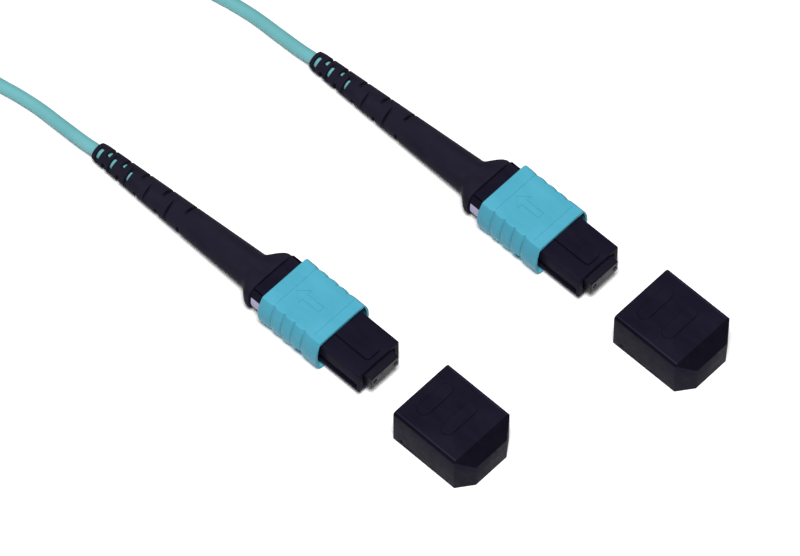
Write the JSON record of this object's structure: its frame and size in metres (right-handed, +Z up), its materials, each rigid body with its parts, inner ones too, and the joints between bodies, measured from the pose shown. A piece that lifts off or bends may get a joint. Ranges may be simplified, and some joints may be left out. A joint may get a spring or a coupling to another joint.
{
  "type": "fiber optic patch cord",
  "caption": "Fiber optic patch cord: push-on multi-fiber connectors with sliding sleeves, slotted boots, sprung ferrules and dust caps on a coiled round cable.",
  "frame": {"origin": "on the surface the cord lies on, under the middle of the box round both connectors and both dust caps", "axes": "+X forward along the connectors, from boot to ferrule; +Y to the left, from the first connector to the second; +Z up"},
  "size_m": [0.1745, 0.0498, 0.0104],
  "materials": {
    "sleeve_plastic": "satin",
    "housing_plastic": "satin",
    "boot_rubber": "matte",
    "cap_plastic": "satin",
    "ferrule_plastic": "satin",
    "inner_rubber": "matte",
    "inner_plastic": "matte",
    "spring_steel": "satin",
    "crimp_metal": "satin",
    "fiber_coating": "satin",
    "mark_paint": "matte",
    "cable_jacket": "satin",
    "tie_fabric": "matte"
  },
  "bodies": {
    "cord": {"sleeve_spring_left_a": "spring_steel", "sleeve_spring_right_a": "spring_steel", "front_housing_a": "housing_plastic", "ferrule_spring_a": "spring_steel", "fiber_ribbon_a": "fiber_coating", "spring_push_a": "inner_plastic", "crimp_ring_a": "crimp_metal", "strain_relief_boot_a": "boot_rubber", "cable_entry_a": "cable_jacket", "position_mark_a": "mark_paint", "sleeve_spring_left_b": "spring_steel", "sleeve_spring_right_b": "spring_steel", "front_housing_b": "housing_plastic", "ferrule_spring_b": "spring_steel", "fiber_ribbon_b": "fiber_coating", "spring_push_b": "inner_plastic", "crimp_ring_b": "crimp_metal", "strain_relief_boot_b": "boot_rubber", "cable_entry_b": "cable_jacket", "position_mark_b": "mark_paint", "cable_lead_a": "cable_jacket", "cable_lead_b": "cable_jacket", "cable_coil": "cable_jacket", "coil_tie": "tie_fabric"},
    "sleeve_a": {"coupling_sleeve_a": "sleeve_plastic"},
    "ferrule_a": {"mt_ferrule_a": "ferrule_plastic", "ferrule_boot_a": "inner_rubber", "pin_keeper_a": "inner_plastic"},
    "cap_a": {"dust_cap_a": "cap_plastic"},
    "sleeve_b": {"coupling_sleeve_b": "sleeve_plastic"},
    "ferrule_b": {"mt_ferrule_b": "ferrule_plastic", "ferrule_boot_b": "inner_rubber", "pin_keeper_b": "inner_plastic"},
    "cap_b": {"dust_cap_b": "cap_plastic"}
  },
  "joints": [
    {"name": "sleeve_slide_a", "type": "slide", "parent": "cord", "child": "sleeve_a", "axis": [1, 0, 0], "range_m": [-0.002, 0], "stiffness_N_per_m": 300, "deforming": ["sleeve_spring_left_a", "sleeve_spring_right_a"]},
    {"name": "ferrule_float_a", "type": "slide", "parent": "cord", "child": "ferrule_a", "axis": [1, 0, 0], "range_m": [-0.0008, 0], "stiffness_N_per_m": 1000, "deforming": ["ferrule_spring_a", "fiber_ribbon_a"]},
    {"name": "cap_slide_a", "type": "slide", "parent": "cord", "child": "cap_a", "axis": [1, 0, 0], "range_m": [-0.01695, 0]},
    {"name": "sleeve_slide_b", "type": "slide", "parent": "cord", "child": "sleeve_b", "axis": [1, 0, 0], "range_m": [-0.002, 0], "stiffness_N_per_m": 300, "deforming": ["sleeve_spring_left_b", "sleeve_spring_right_b"]},
    {"name": "ferrule_float_b", "type": "slide", "parent": "cord", "child": "ferrule_b", "axis": [1, 0, 0], "range_m": [-0.0008, 0], "stiffness_N_per_m": 1000, "deforming": ["ferrule_spring_b", "fiber_ribbon_b"]},
    {"name": "cap_slide_b", "type": "slide", "parent": "cord", "child": "cap_b", "axis": [1, 0, 0], "range_m": [-0.01695, 0]}
  ]
}
